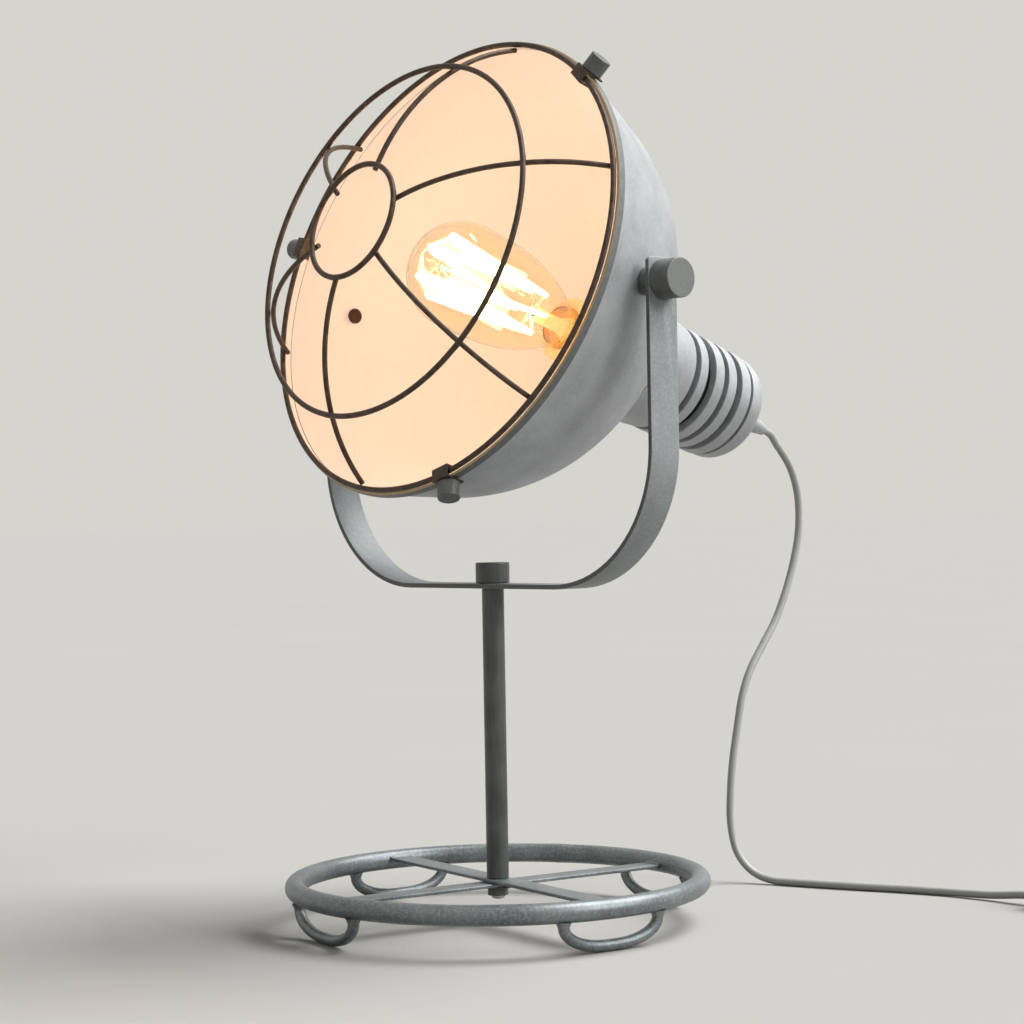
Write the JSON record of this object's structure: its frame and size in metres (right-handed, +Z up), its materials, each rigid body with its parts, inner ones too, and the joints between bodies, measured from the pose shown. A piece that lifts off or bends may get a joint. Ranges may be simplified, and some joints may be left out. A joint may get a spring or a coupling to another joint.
{
  "type": "tabletop searchlight lamp",
  "caption": "Tabletop searchlight lamp: deep spun shade with a wire grill, tilting in a swivelling U yoke on a stem over a round wire base, with a corded in-line switch and plug.",
  "frame": {"origin": "on the table surface, under the middle of the lamp without its cord", "axes": "+Z up, the shade looks along -Y, +X along the tilt axis towards the right-hand knob"},
  "size_m": [0.5135, 0.4065, 0.517],
  "materials": {
    "galvanised_metal": "brushed, mottled grey zinc look",
    "spun_aluminium": "brushed, mottled grey zinc look",
    "dark_metal": "satin, darkened",
    "bright_metal": "satin",
    "grill_wire": "satin, brown-grey",
    "black_plastic": "satin",
    "cream_glaze": "cream, glossy, heat-resistant",
    "amber_glass": "clear amber",
    "brass": "satin",
    "filament": "glowing wire",
    "grey_cord": "matt",
    "grey_plastic": "satin"
  },
  "bodies": {
    "base": {"base_ring": "galvanised_metal", "foot_1": "galvanised_metal", "foot_2": "galvanised_metal", "foot_3": "galvanised_metal", "foot_4": "galvanised_metal", "cross_bar_top": "galvanised_metal", "cross_bar_low": "galvanised_metal", "stem_tube": "galvanised_metal", "stem_rod": "bright_metal", "base_washer": "dark_metal", "base_nut": "dark_metal", "cord_drop": "grey_cord", "cord_coil": "grey_cord", "coil_tie": "black_plastic", "switch_body": "grey_plastic", "plug_body": "grey_plastic", "plug_pin_1": "bright_metal", "plug_pin_2": "bright_metal"},
    "yoke": {"yoke": "galvanised_metal"},
    "head": {"pivot_spacer_right": "galvanised_metal", "pivot_spacer_left": "galvanised_metal", "pivot_bolt_right": "dark_metal", "pivot_bolt_left": "dark_metal", "shade": "spun_aluminium", "rim_bead": "spun_aluminium", "grill_ring_outer": "grill_wire", "grill_ring_middle": "grill_wire", "grill_ring_centre": "grill_wire", "grill_rib_1": "grill_wire", "grill_rib_2": "grill_wire", "grill_rib_3": "grill_wire", "grill_rib_4": "grill_wire", "grill_rib_5": "grill_wire", "grill_rib_6": "grill_wire", "grill_clip_1": "dark_metal", "grill_clip_2": "dark_metal", "grill_clip_3": "dark_metal", "neck": "spun_aluminium", "handle_core": "black_plastic", "fin_1": "spun_aluminium", "fin_2": "spun_aluminium", "fin_3": "spun_aluminium", "fin_4": "spun_aluminium", "end_cap": "spun_aluminium", "cord_gland": "spun_aluminium", "lampholder": "cream_glaze", "holder_tube": "bright_metal", "inner_lead": "black_plastic"},
    "bulb": {"bulb_glass": "amber_glass", "bulb_cap": "brass", "bulb_mount": "amber_glass", "filament": "filament", "filament_hooks": "amber_glass"},
    "collar_nut": {"collar_nut": "galvanised_metal"},
    "pivot_knob_right": {"pivot_knob_right": "dark_metal"},
    "pivot_knob_left": {"pivot_knob_left": "dark_metal"},
    "thumb_screw_1": {"thumb_screw_1": "dark_metal"},
    "thumb_screw_2": {"thumb_screw_2": "dark_metal"},
    "thumb_screw_3": {"thumb_screw_3": "dark_metal"},
    "switch_rocker": {"switch_rocker": "black_plastic"}
  },
  "joints": [
    {"name": "yoke_swivel", "type": "hinge", "parent": "base", "child": "yoke", "pos_m": [0, -0.06014, 0.198], "axis": [0, 0, 1], "range_deg": [-170, 170], "deforming": ["cord_drop"]},
    {"name": "head_tilt", "type": "hinge", "parent": "yoke", "child": "head", "pos_m": [0, -0.06014, 0.366], "axis": [-1, 0, 0], "range_deg": [-50, 55], "deforming": ["cord_drop"]},
    {"name": "collar_nut_turn", "type": "hinge", "parent": "base", "child": "collar_nut", "pos_m": [0, -0.06014, 0.2057], "axis": [0, 0, 1], "continuous": true},
    {"name": "pivot_knob_right_turn", "type": "hinge", "parent": "yoke", "child": "pivot_knob_right", "pos_m": [0.1484, -0.06014, 0.366], "axis": [1, 0, 0], "continuous": true},
    {"name": "pivot_knob_left_turn", "type": "hinge", "parent": "yoke", "child": "pivot_knob_left", "pos_m": [-0.1484, -0.06014, 0.366], "axis": [-1, 0, 0], "continuous": true},
    {"name": "thumb_screw_1_turn", "type": "hinge", "parent": "head", "child": "thumb_screw_1", "pos_m": [0, -0.09518, 0.3837], "axis": [0.6428, 0.2367, 0.7285], "continuous": true},
    {"name": "thumb_screw_2_turn", "type": "hinge", "parent": "head", "child": "thumb_screw_2", "pos_m": [0, -0.09518, 0.3837], "axis": [0.342, -0.2904, -0.8937], "continuous": true},
    {"name": "thumb_screw_3_turn", "type": "hinge", "parent": "head", "child": "thumb_screw_3", "pos_m": [0, -0.09518, 0.3837], "axis": [-0.9848, 0.0537, 0.1651], "continuous": true},
    {"name": "bulb_turn", "type": "hinge", "parent": "head", "child": "bulb", "pos_m": [0, -0.05828, 0.37171], "axis": [0, -0.9511, 0.309], "continuous": true},
    {"name": "switch_rocker_tilt", "type": "hinge", "parent": "base", "child": "switch_rocker", "pos_m": [0.234, 0.19136, 0.0175], "axis": [0, -1, 0], "range_deg": [0, 16]}
  ]
}
